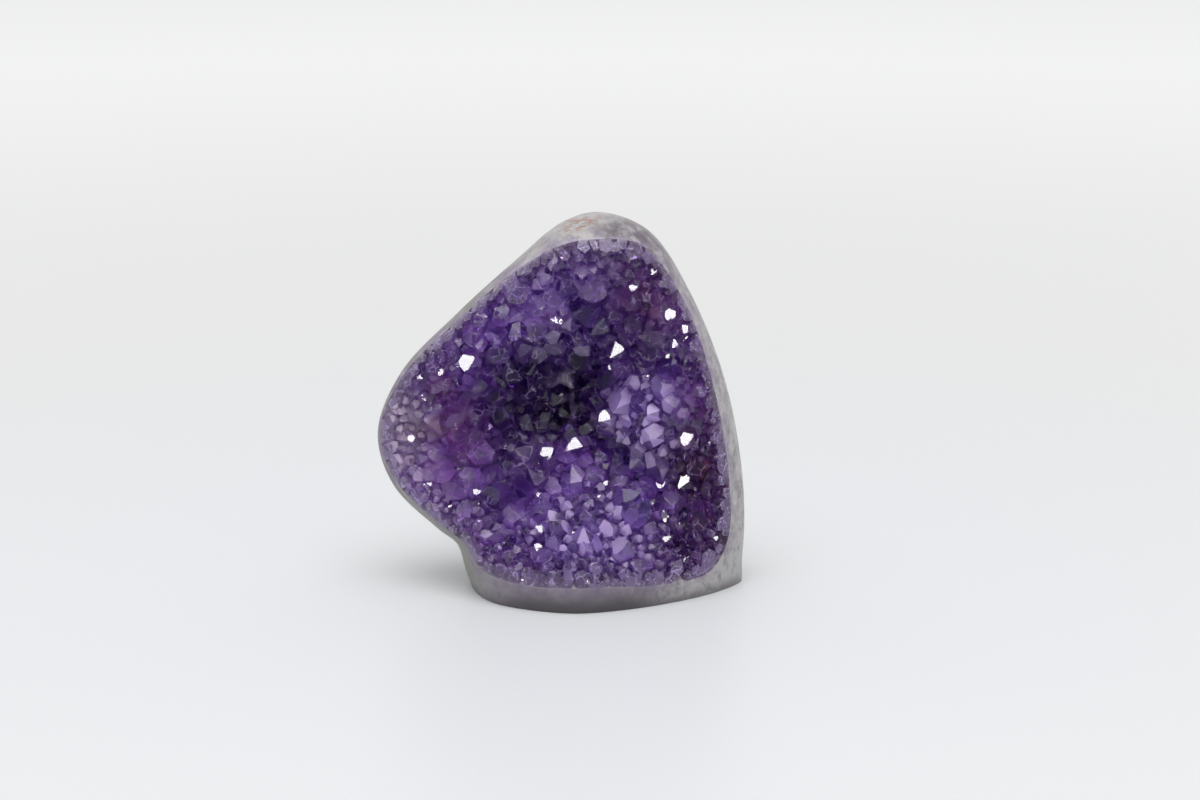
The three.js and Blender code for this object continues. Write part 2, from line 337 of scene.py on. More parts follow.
    def seat_normal(self, x: np.ndarray, z: np.ndarray, step: float = 0.6) -> np.ndarray:
        """Directions square to the seat, towards the opening: (dy/dx, -1, dy/dz) made one long."""
        dx = (self.seat(x + step, z) - self.seat(x - step, z)) / (2 * step)
        dz = (self.seat(x, z + step) - self.seat(x, z - step)) / (2 * step)
        n = np.stack([dx, -np.ones_like(dx), dz], axis=-1)
        return n / np.linalg.norm(n, axis=-1, keepdims=True)


@dataclass(frozen=True)
class Placement:
    """Where the block's own axes lie in the row frame: the shift in millimetres that brings them together."""

    shift: tuple[float, float, float]

    @classmethod
    def from_frame(cls, form: GeodeForm) -> "Placement":
        """The shift that puts the formula's leftmost and foremost points on the CAD stone's."""
        low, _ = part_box("stone_matrix")
        left = form.stone.dense()[0][:, 0].min()
        return cls((low.x / MM - left, low.y / MM - form.front_y, low.z / MM))

    def metres(self, points: np.ndarray) -> np.ndarray:
        """Points of the block's own axes as metres in the row frame."""
        return (points + np.asarray(self.shift)) * MM

    def block(self, points: np.ndarray) -> np.ndarray:
        """Points in metres in the row frame as millimetres in the block's own axes."""
        return points / MM - np.asarray(self.shift)


# -----------------------------------------------------------------------------------------------------------
# Meshes
# -----------------------------------------------------------------------------------------------------------


def ring_faces(rings: int, around: int) -> tuple[np.ndarray, np.ndarray, np.ndarray]:
    """Faces of a closed skin of rings with one point at each end.

    Args:
        rings: how many full rings.
        around: points in each.

    Returns: Triangles at the first pole, quads between the rings, and triangles at the last pole. Point 0
    is the first pole, the rings follow it in order, and the last point is the other pole.
    """
    k = np.arange(around)
    k1 = (k + 1) % around
    first = np.stack([np.zeros_like(k), 1 + k, 1 + k1], axis=1)
    base = 1 + around * np.arange(rings - 1)[:, None]
    quads = np.stack([base + k, base + around + k, base + around + k1, base + k1], axis=-1).reshape(-1, 4)
    top = 1 + around * (rings - 1)
    last = np.stack([top + k, np.full_like(k, top + around), top + k1], axis=1)
    return first, quads, last


def skin_object(name: str, first: np.ndarray, rings: np.ndarray, last: np.ndarray) -> bpy.types.Object:
    """A closed skin of rings of points, in metres, turned so that its faces point outwards.

    Args:
        name: the object's name.
        first: the pole at its start, three numbers.
        rings: the rings, in an array of rings by points by 3.
        last: the pole at its end.

    Returns:
        The object, linked to the scene.
    """
    points = np.vstack([first[None], rings.reshape(-1, 3), last[None]])
    parts = ring_faces(rings.shape[0], rings.shape[1])
    mesh = bpy.data.meshes.new(name)
    mesh.from_pydata(points.tolist(), [], [f for part in parts for f in part.tolist()])
    if signed_volume(mesh) < 0:
        mesh.flip_normals()
    mesh.update()
    piece = bpy.data.objects.new(name, mesh)
    bpy.context.scene.collection.objects.link(piece)
    return piece


def signed_volume(mesh: bpy.types.Mesh) -> float:
    """The volume that a closed mesh encloses, negative if its faces point inwards: the sum of a.(b x c)/6."""
    mesh.calc_loop_triangles()
    corners = np.empty(len(mesh.loop_triangles) * 3, np.int32)
    mesh.loop_triangles.foreach_get("vertices", corners)
    co = np.empty(len(mesh.vertices) * 3)
    mesh.vertices.foreach_get("co", co)
    a, b, c = (co.reshape(-1, 3)[corners[k::3]] for k in range(3))
    return float(np.einsum("ij,ij->", a, np.cross(b, c)) / 6.0)


def face_mark(mesh: bpy.types.Mesh, name: str, value: np.ndarray | float) -> None:
    """Writes one number per face, in a layer that the joining and cutting carry along."""
    layer = mesh.attributes.get(name) or mesh.attributes.new(name, "FLOAT", "FACE")
    layer.data.foreach_set("value", np.broadcast_to(np.float32(value), len(mesh.polygons)).astype(np.float32))


def vertex_mark(mesh: bpy.types.Mesh, name: str, value: np.ndarray) -> None:
    """Writes one number per vertex."""
    layer = mesh.attributes.new(name, "FLOAT", "POINT")
    layer.data.foreach_set("value", value.astype(np.float32))


def mark_places(mesh: bpy.types.Mesh, form: GeodeForm, placement: Placement) -> None:
    """Writes where each vertex lies, in millimetres.

    "inside" is the distance in from the hollow's outline, below 0 outside it. "rise" is the height over the
    seat, square to it.
    """
    co = np.empty(len(mesh.vertices) * 3)
    mesh.vertices.foreach_get("co", co)
    x, y, z = placement.block(co.reshape(-1, 3)).T
    rho, radius = form.hollow.reach(x, z, form.middle)
    vertex_mark(mesh, "inside", (1.0 - rho) * radius)
    vertex_mark(mesh, "rise", (form.seat(x, z) - y) * -form.seat_normal(x, z)[:, 1])


class Cut(Enum):
    """What a closed solid does to another."""

    JOIN = "UNION"
    KEEP_INSIDE = "INTERSECT"
    TAKE_AWAY = "DIFFERENCE"


def carve(piece: bpy.types.Object, steps: list[tuple[Cut, bpy.types.Object | bpy.types.Collection]]) -> None:
    """Joins solids to a piece or cuts it with them, in order, and keeps only the result.

    Args:
        piece: the piece, whose mesh is replaced.
        steps: what is done, and with which object or collection. The tools are removed afterwards.
    """
    for cut, tool in steps:
        step = piece.modifiers.new(cut.name.lower(), "BOOLEAN")
        step.operation = cut.value
        step.solver = "MANIFOLD"
        if isinstance(tool, bpy.types.Collection):
            step.operand_type = "COLLECTION"
            step.collection = tool
        else:
            step.object = tool
    graph = bpy.context.evaluated_depsgraph_get()
    result = bpy.data.meshes.new_from_object(piece.evaluated_get(graph))
    piece.modifiers.clear()
    spent = piece.data
    piece.data = result
    result.name = piece.name
    bpy.data.meshes.remove(spent)
    for _, tool in steps:
        remove_tool(tool)


def remove_tool(tool: bpy.types.Object | bpy.types.Collection) -> None:
    """Removes a cutting object, or a collection with all in it, with its meshes."""
    group = list(tool.objects) if isinstance(tool, bpy.types.Collection) else [tool]
    meshes = [o.data for o in group]
    bpy.data.batch_remove(group)
    bpy.data.batch_remove(meshes)
    if isinstance(tool, bpy.types.Collection):
        bpy.data.collections.remove(tool)


def island_labels(mesh: bpy.types.Mesh) -> np.ndarray:
    """For each vertex, the lowest vertex number that its connected part holds.

    Each round gives both ends of every edge the lower label of the two, then lets each label jump to its own
    label, until nothing changes.
    """
    edges = np.empty(len(mesh.edges) * 2, np.int32)
    mesh.edges.foreach_get("vertices", edges)
    a, b = edges[0::2], edges[1::2]
    label = np.arange(len(mesh.vertices))
    while True:
        before = label.copy()
        low = np.minimum(label[a], label[b])
        np.minimum.at(label, a, low)
        np.minimum.at(label, b, low)
        label = label[label]
        if np.array_equal(before, label):
            return label


def keep_main_body(piece: bpy.types.Object) -> None:
    """Deletes every closed part of a mesh but the one with the most vertices, such as a sealed pocket."""
    mesh = piece.data
    label = island_labels(mesh)
    main = np.bincount(label).argmax()
    net = bmesh.new()
    net.from_mesh(mesh)
    net.verts.ensure_lookup_table()
    stray = [net.verts[i] for i in np.nonzero(label != main)[0]]
    bmesh.ops.delete(net, geom=stray, context="VERTS")
    net.to_mesh(mesh)
    net.free()
    LOG.info("%s: %d stray vertices removed", piece.name, len(stray))


# -----------------------------------------------------------------------------------------------------------
# Finishes
# -----------------------------------------------------------------------------------------------------------


@dataclass(frozen=True)
class Patch:
    """A soft ball in the block: its middle, the radius it fills, the radius where it ends, its strength."""

    x: float
    y: float
    z: float
    inner: float
    outer: float
    strength: float = 1.0


class Graph:
    """Short calls for laying out one material's or the world's nodes."""

    def __init__(self, tree: bpy.types.NodeTree) -> None:
        """Starts from an empty tree."""
        self.tree = tree
        tree.nodes.clear()

    def put(self, socket: bpy.types.NodeSocket, value: object) -> None:
        """Links a socket to another node's output, or gives it a number or a colour."""
        if isinstance(value, bpy.types.NodeSocket):
            self.tree.links.new(value, socket)
        else:
            socket.default_value = value

    def node(self, kind: str, values: dict | None = None, **settings: object) -> bpy.types.Node:
        """A node of a kind, with its inputs' values and its settings.

        Args:
            kind: the node's type name without its leading "ShaderNode".
            values: input name or number to a number, a colour or another node's output.
            settings: the node's own properties.

        Returns:
            The node.
        """
        made = self.tree.nodes.new("ShaderNode" + kind)
        for key, value in settings.items():
            setattr(made, key, value)
        for key, value in (values or {}).items():
            self.put(made.inputs[key], value)
        return made

    def math(self, operation: str, *values: object) -> bpy.types.NodeSocket:
        """The result of a Math node."""
        return self.node("Math", dict(enumerate(values)), operation=operation).outputs[0]

    def times(self, *values: object) -> object:
        """The product of all the values."""
        return reduce(lambda a, b: self.math("MULTIPLY", a, b), values)

    def most(self, *values: object) -> object:
        """The greatest of all the values."""
        return reduce(lambda a, b: self.math("MAXIMUM", a, b), values)

    def line(self, value: object, factor: object, start: object) -> object:
        """factor * value + start."""
        return self.math("MULTIPLY_ADD", value, factor, start)

    def span(self, value: object, low: float, high: float, start: float = 0.0, end: float = 1.0) -> object:
        """value taken smoothly from start at low to end at high."""
        made = self.node(
            "MapRange",
            {"Value": value, "From Min": low, "From Max": high, "To Min": start, "To Max": end},
            interpolation_type="SMOOTHSTEP",
        )
        return made.outputs["Result"]

    def mix(self, share: object, a: object, b: object, how: str = "MIX") -> bpy.types.NodeSocket:
        """Colour a at share 0 and b at share 1."""
        made = self.node("Mix", data_type="RGBA", blend_type=how)
        self.put(made.inputs[0], share)
        for key, colour in ((6, a), (7, b)):
            self.put(made.inputs[key], rgba(colour) if isinstance(colour, tuple) else colour)
        return made.outputs[2]

    def layer(self, name: str) -> object:
        """The number that the mesh carries in a layer of that name."""
        return self.node("Attribute", attribute_name=name).outputs["Fac"]

    def part(self, place: object, axis: Axis) -> object:
        """One of a place's three numbers."""
        return self.node("SeparateXYZ", {0: place}).outputs[axis.value]

    def noise(self, place: object, size: float, detail: float = 3.0, rough: float = 0.55) -> object:
        """Cloudy noise from 0 to 1 whose features are about size millimetres wide."""
        made = self.node("TexNoise", {
            "Vector": place, "Scale": 1.0 / size, "Detail": detail, "Roughness": rough})
        return made.outputs[0]

    def cells(self, place: object, size: float = 2.8, bend: float = 1.6) -> tuple[object, object]:
        """The sections of crystals that a ground face cuts through, with wavy outlines.

        Args:
            place: a position socket, in millimetres.
            size: how far apart their middles are.
            bend: how far the waves reach.

        Returns:
            A number from 0 to 1 for each section, and the distance to its outline as a share of its size.
        """
        wobble = self.node("TexNoise", {"Vector": place, "Scale": 0.5}).outputs["Color"]
        bent = self.node("VectorMath", {0: wobble, 1: (bend, bend, bend), 2: place}, operation="MULTIPLY_ADD")
        values = {"Vector": bent.outputs[0], "Scale": 1.0 / size}
        edge = self.node("TexVoronoi", values, feature="DISTANCE_TO_EDGE").outputs[0]
        own = self.node("SeparateColor", {0: self.node("TexVoronoi", values).outputs["Color"]}).outputs[0]
        return own, edge

    def within(self, place: object, patches: tuple[Patch, ...]) -> object:
        """Where a place lies in patches: the strength of the strongest, fading to 0 between its two radii."""
        shares = []
        for p in patches:
            away = self.node("VectorMath", {0: place, 1: (p.x, p.y, p.z)},
                             operation="DISTANCE").outputs["Value"]
            shares.append(self.span(away, p.inner, p.outer, p.strength, 0.0))
        return self.most(*shares)

    def surface(self, shader: bpy.types.Node, output: str = "OutputMaterial") -> bpy.types.Node:
        """The tree's output node, linked to a shader."""
        return self.node(output, {"Surface": shader.outputs[0]})


def rgba(colour: tuple[float, ...]) -> tuple[float, float, float, float]:
    """A linear colour with its fourth number, 1."""
    return (*colour[:3], 1.0)


def new_material(name: str) -> tuple[bpy.types.Material, Graph]:
    """A material and its empty node tree."""
    material = bpy.data.materials.new(name)
    material.use_nodes = True
    return material, Graph(material.node_tree)


@dataclass(frozen=True)
class BlockPlace:
    """Object coordinates turned into the block's own millimetres, for a material."""

    placement: Placement

    def socket(self, graph: Graph, stretch: tuple[float, float, float] = (1.0, 1.0, 1.0)) -> object:
        """The output that gives the place, each axis multiplied by stretch."""
        coordinates = graph.node("TexCoord").outputs["Object"]
        scale = tuple(s / MM for s in stretch)
        start = tuple(-m * s for m, s in zip(self.placement.shift, stretch))
        return graph.node("Mapping", {"Vector": coordinates, "Scale": scale, "Location": start}).outputs[0]


@dataclass(frozen=True)
class StoneFinish:
    """The stone: a satin grey rind where ground, rough greenish rock behind, pale violet quartz within."""

    place: BlockPlace
    ior: float = 1.54
    rind: Colour = (0.50, 0.485, 0.49)
    rind_shade: Colour = (0.22, 0.21, 0.21)
    speck: Colour = (0.66, 0.64, 0.65)
    lilac_rind: Colour = (0.28, 0.235, 0.32)
    milk: Colour = (0.48, 0.47, 0.47)
    smoke: Colour = (0.13, 0.11, 0.13)
    edge_violet: Colour = (0.22, 0.17, 0.28)
    moss: Colour = (0.17, 0.17, 0.13)
    rust: Colour = (0.33, 0.15, 0.11)
    # Painted shade near the foot, where the stone stands on the table.
    foot_shade: Colour = (0.07, 0.06, 0.07)
    rock: Colour = (0.16, 0.17, 0.14)
    rock_shade: Colour = (0.07, 0.08, 0.06)
    earth: Colour = (0.19, 0.14, 0.09)
    seat_white: Colour = (0.78, 0.74, 0.84)
    seat_lilac: Colour = (0.80, 0.66, 1.0)
    seat_violet: Colour = (0.46, 0.24, 0.66)
    seat_wine: Colour = (0.52, 0.28, 0.40)
    seat_ember: Colour = (0.42, 0.20, 0.12)
    # Painted shade, nearly black, for the recess and the valleys between the mounds.
    seat_shade: Colour = (0.14, 0.09, 0.21)
    seat_cell: Colour = (0.20, 0.10, 0.34)
    lilac_foot: tuple[Patch, ...] = (Patch(2, -28, 2, 12, 36, 0.75),)
    # Where the painted shade at the foot reaches highest: the middle of the front.
    foot_shade_middle: tuple[Patch, ...] = (Patch(4, -30, 2, 12, 30),)
    milky_ends: tuple[Patch, ...] = (Patch(48, -6, 6, 8, 22), Patch(6, -8, 98, 9, 16))
    smoky_shoulder: tuple[Patch, ...] = (Patch(19, -8, 95, 6, 17),)
    rusty_top: tuple[Patch, ...] = (Patch(4, -2, 103, 3, 9),)
    wine_sides: tuple[Patch, ...] = (
        Patch(-34, 0, 46, 4, 22), Patch(43, 0, 40, 6, 22), Patch(27, 0, 84, 4, 20))
    # Where the seat is darkened by painted shade: the recess and the valleys between the mounds.
    shaded_hollows: tuple[Patch, ...] = (
        Patch(-5, 8, 50, 8, 24), Patch(26, 8, 66, 3, 15), Patch(38, -10, 12, 6, 18),
        Patch(37, 0, 32, 4, 15, 0.8),
        Patch(-10, 3, 34, 5, 17, 0.85), Patch(-20, -2, 24, 3, 15, 0.75),
    )  # fmt: skip
    embers: tuple[Patch, ...] = (Patch(38, 0, 36, 5, 18), Patch(42, 0, 14, 4, 12))
    # Where the seat is made paler lilac, partly as painted light: the mounds.
    pale_and_lit_mounds: tuple[Patch, ...] = (Patch(9, -12, 20, 8, 22), Patch(20, -10, 47, 8, 20))

    def seat_colour(self, g: Graph, place: object, inside: object) -> object:
        """The quartz under the crystals.

        It is violet and lilac in clouds, wine red in places at the sides, a deeper violet under painted shade
        in the recess and the valleys, paler lilac with painted light on the mounds, and whitish where it
        thins out at the rim.
        """
        cloud = g.span(g.noise(place, 4.0, 4.0), 0.35, 0.68)
        colour = g.mix(cloud, self.seat_violet, self.seat_lilac)
        patchy = g.span(g.noise(place, 9.0, 2.0), 0.38, 0.6)
        colour = g.mix(g.times(g.within(place, self.wine_sides), patchy), colour, self.seat_wine)
        # Painted shade in the recess and the valleys, over a deeper violet.
        colour = g.mix(g.times(g.within(place, self.shaded_hollows), 0.9), colour, self.seat_shade)
        sparse = g.span(g.noise(place, 3.5), 0.48, 0.62)
        colour = g.mix(g.times(g.within(place, self.embers), sparse), colour, self.seat_ember)
        # Painted light on the mounds, over paler lilac quartz.
        colour = g.mix(g.times(g.within(place, self.pale_and_lit_mounds), 0.9), colour, self.seat_lilac)
        edge = g.math("SUBTRACT", g.line(g.noise(place, 3.0), 5.0, inside), left_width(g, place))
        colour = g.mix(g.times(g.span(edge, 3.0, 7.0, 0.8, 0.0), patchy), colour, self.seat_white)
        cell, seam = g.cells(place)
        rim = g.span(inside, 3.0, 10.0, 1.0, 0.0)
        colour = g.mix(g.times(rim, g.span(cell, 0.15, 0.85, 0.0, 0.8)), colour, self.seat_cell)
        return g.mix(g.times(rim, g.span(seam, 0.0, 0.09, 0.6, 0.0)), colour, self.seat_white)

    def rind_colour(self, g: Graph, place: object, inside: object) -> object:
        """The ground rim: grey with fine streaks, mossy on the left, lilac below, milky and rusty on top,
        with painted shade at the foot.
        """
        streak = g.noise(self.place.socket(g, (1.0, 1.0, 0.6)), 3.0, 6.0, 0.62)
        colour = g.mix(g.span(streak, 0.35, 0.7), self.rind, self.rind_shade)
        colour = g.mix(g.span(g.noise(place, 1.3, 6.0, 0.7), 0.46, 0.66, 0.0, 0.55), colour, self.speck)
        colour = g.mix(g.span(g.part(place, Axis.ACROSS), -28.0, -6.0, 0.75, 0.0), colour, self.moss)
        colour = g.mix(g.within(place, self.lilac_foot), colour, self.lilac_rind)
        milky = g.times(g.within(place, self.milky_ends), g.span(g.noise(place, 2.2, 5.0, 0.6), 0.42, 0.56))
        colour = g.mix(milky, colour, self.milk)
        smoky = g.times(g.within(place, self.smoky_shoulder), g.span(g.noise(place, 4.0), 0.3, 0.6))
        colour = g.mix(smoky, colour, self.smoke)
        veins = g.noise(self.place.socket(g, (0.5, 1.0, 1.4)), 1.5, 5.0, 0.6)
        rusty = g.times(g.within(place, self.rusty_top), g.span(veins, 0.48, 0.6, 0.0, 0.9))
        colour = g.mix(rusty, colour, self.rust)
        edge = g.line(g.noise(place, 2.0, 4.0), 4.0, inside)
        violet = g.times(g.span(edge, -2.0, 2.5, 0.0, 0.7), g.span(g.noise(place, 5.0), 0.4, 0.62))
        colour = g.mix(violet, colour, self.edge_violet)
        # Painted shade: darker towards the foot, most of all in the middle of the front.
        low = g.line(g.noise(place, 6.0), 3.0, g.part(place, Axis.UP))
        colour = g.mix(g.span(low, 0.5, 6.0, 0.75, 0.0), colour, self.foot_shade)
        middle = g.times(g.within(place, self.foot_shade_middle), g.span(low, 2.0, 10.5, 0.95, 0.0))
        return g.mix(middle, colour, self.foot_shade)

    def rock_colour(self, g: Graph, place: object) -> object:
        """The rough back: greenish grey, with earthy patches."""
        colour = g.mix(g.span(g.noise(place, 3.0, 6.0, 0.65), 0.3, 0.7), self.rock, self.rock_shade)
        return g.mix(g.span(g.noise(place, 16.0, 5.0, 0.6), 0.5, 0.66, 0.0, 0.6), colour, self.earth)

    def material(self) -> bpy.types.Material:
        """The material. The layer "quarter" is 1 on the seat, and "inside" the distance in from the rim."""
        material, g = new_material("chalcedony_and_rock")
        place = self.place.socket(g)
        inside = g.layer("inside")
        behind = g.line(g.noise(place, 9.0, 5.0, 0.6), 14.0, g.part(place, Axis.BACK))
        rough = g.span(behind, 11.5, 14.0)
        ground = g.line(g.noise(place, 2.5, 4.0), 3.0, inside)
        fade = g.span(g.part(place, Axis.UP), 12.0, 28.0, 8.0, 3.6)
        share = g.span(g.math("DIVIDE", ground, fade), 0.08, 1.0)
        colour = g.mix(share, self.rind_colour(g, place, inside), self.seat_colour(g, place, inside))
        outside = g.math("SUBTRACT", 1.0, g.layer("quarter"))
        colour = g.mix(g.times(rough, outside), colour, self.rock_colour(g, place))
        pits = g.node("TexVoronoi", {"Vector": place, "Scale": 0.45}).outputs["Distance"]
        relief = g.line(g.times(pits, rough), 2.5, g.noise(place, 0.7, 5.0, 0.6))
        bump = g.node("Bump", {"Height": relief, "Strength": 0.3, "Distance": 0.0003})
        values = {"Base Color": colour, "Normal": bump.outputs[0], "IOR": self.ior}
        values["Roughness"] = g.span(rough, 0.0, 1.0, 0.34, 0.85)
        g.surface(g.node("BsdfPrincipled", values))
        return material


def left_width(g: Graph, place: object) -> object:
    """How much wider the pale rim is at the left, in millimetres."""
    return g.span(g.part(place, Axis.ACROSS), -42.0, -22.0, 6.0, 0.0)


@dataclass(frozen=True)
class CrystalFinish:
    """Amethyst: clear quartz that holds its violet in its body, finely ground where the rim was cut."""

    place: BlockPlace
    ior: float = 1.544
    violet: Colour = (0.62, 0.25, 0.92)
    density: float = 104.0
    clear: Colour = (0.94, 0.80, 1.0)
    blue: Colour = (0.80, 0.70, 1.0)
    deep: Colour = (0.10, 0.06, 0.20)
    # Painted shade low down between the crystals.
    crevice_shade: Colour = (0.20, 0.11, 0.29)
    wine: Colour = (0.70, 0.52, 0.68)
    right_shade: Colour = (0.60, 0.46, 0.60)
    cut_dark: Colour = (0.10, 0.045, 0.18)
    cut_pale: Colour = (0.44, 0.33, 0.62)
    haze: Colour = (0.64, 0.54, 0.86)
    rind: Colour = (0.40, 0.37, 0.42)
    wine_sides: tuple[Patch, ...] = (
        Patch(-34, 0, 44, 4, 24), Patch(43, 0, 42, 6, 22), Patch(27, 0, 84, 4, 20))
    dark_shoulder: tuple[Patch, ...] = (Patch(24, 0, 78, 5, 21, 0.8),)
    left_rim: tuple[Patch, ...] = (Patch(-50, 0, 43, 8, 21, 0.6),)
    pale_mounds: tuple[Patch, ...] = (Patch(9, -16, 20, 6, 22), Patch(20, -12, 47, 7, 20))
    frosted: tuple[Patch, ...] = (
        Patch(-38, -6, 24, 6, 18, 0.45), Patch(-50, 0, 43, 7, 20, 1.3), Patch(0, -4, 86, 8, 24, 0.3),
        Patch(-20, -8, 14, 5, 18, 0.15),
    )  # fmt: skip

    def tint(self, g: Graph, place: object) -> object:
        """Each crystal's depth of colour: redder at the sides, bluer on the mounds, with painted shade low
        down between crystals.
        """
        colour = g.mix(g.layer("tone"), self.clear, self.deep)
        wine = g.times(g.within(place, self.wine_sides), g.span(g.noise(place, 5.0), 0.35, 0.6))
        colour = g.mix(wine, colour, self.wine)
        inside = g.layer("inside")
        rim = g.span(g.math("SUBTRACT", inside, left_width(g, place)), 0.0, 5.0, 0.75, 0.0)
        colour = g.mix(g.times(rim, g.span(g.noise(place, 3.0), 0.35, 0.6, 0.4, 1.0)), colour, self.clear)
        colour = g.mix(g.within(place, self.pale_mounds), colour, self.blue, "MULTIPLY")
        right = g.most(g.span(g.part(place, Axis.ACROSS), 26.0, 38.0), g.within(place, self.dark_shoulder))
        colour = g.mix(right, colour, self.right_shade, "MULTIPLY")
        # Painted shade: each crystal darkens near the seat, between its neighbours, less at the rim and at
        # the left.
        rise = g.line(g.noise(place, 2.0), 1.4, g.layer("rise"))
        low = g.times(g.span(rise, 2.6, 4.2, 0.9, 0.0), g.math("SUBTRACT", 1.0, g.layer("ground")))
        low = g.times(low, g.span(inside, 1.0, 5.0, 0.2, 1.0))
        low = g.times(low, g.math("SUBTRACT", 1.0, g.within(place, self.left_rim)))
        return g.mix(low, colour, self.crevice_shade, "MULTIPLY")

    def frost(self, g: Graph, place: object) -> object:
        """How milky the crystals are: the palest of them most, and more on the mounds and at the left."""
        pale = g.span(g.layer("tone"), 0.0, 0.5, 1.0, 0.0)
        milky = g.times(g.within(place, self.pale_mounds), g.line(pale, 0.44, 0.24))
        cloud = g.span(g.noise(place, 6.0, 3.0), 0.4, 0.7)
        milky = g.line(g.line(pale, 0.14, 0.03), cloud, milky)
        return g.line(g.within(place, self.frosted), g.line(pale, 0.16, 0.32), milky)

    def material(self) -> bpy.types.Material:
        """The material. The layers "ground" and "tone" say where it is cut and how deep each crystal is."""
        material, g = new_material("amethyst_quartz")
        place = self.place.socket(g)
        ground = g.layer("ground")
        inside = g.layer("inside")
        mostly_ground = g.line(ground, 0.3, 0.7)
        cell, outline = g.cells(place)
        seam = g.times(g.span(outline, 0.0, 0.08, 1.0, 0.0), g.span(g.noise(place, 4.0), 0.38, 0.6),
                       mostly_ground)
        body = g.times(ground, g.span(g.line(g.noise(place, 3.0), 3.0, inside), 0.4, 2.6))
        low = g.span(g.part(place, Axis.UP), 12.0, 26.0, 1.5, 0.0)
        edge = g.math("ADD", g.line(g.noise(place, 2.0, 4.0), 4.0, inside), low)
        fade = g.times(g.span(edge, 0.8, 3.4, 0.9, 0.0), mostly_ground)
        speck = g.most(g.times(g.within(place, self.pale_mounds), 0.4), ground)
        speck = g.times(g.span(g.noise(place, 1.0, 5.0, 0.65), 0.5, 0.68), speck)
        cut = g.mix(g.span(cell, 0.1, 0.9), self.cut_dark, self.cut_pale)
        colour = g.mix(g.times(body, 0.8), self.tint(g, place), cut)
        colour = g.mix(seam, colour, self.haze)
        colour = g.mix(fade, colour, self.rind)
        colour = g.mix(g.times(speck, 0.7), colour, self.haze)
        shares = (g.times(seam, 0.6), g.times(body, 0.25), fade, g.times(speck, 0.6))
        milky = g.most(self.frost(g, place), *shares)
        steps = g.node("TexVoronoi", {"Vector": place, "Scale": 1.1}).outputs["Distance"]
        relief = g.line(g.noise(place, 0.9, 2.0), 0.6, steps)
        bump = g.node("Bump", {"Height": relief, "Strength": 0.1, "Distance": 0.00012})
        values = {"Base Color": colour, "IOR": self.ior, "Normal": bump.outputs[0]}
        values["Roughness"] = g.line(ground, 0.13, 0.02)
        values["Transmission Weight"] = g.math("SUBTRACT", 1.0, milky)
        depth = g.node("VolumeAbsorption", {"Color": rgba(self.violet), "Density": self.density})
        end = g.surface(g.node("BsdfPrincipled", values))
        g.put(end.inputs["Volume"], depth.outputs[0])
        return material


# -----------------------------------------------------------------------------------------------------------
# The stone
# -----------------------------------------------------------------------------------------------------------


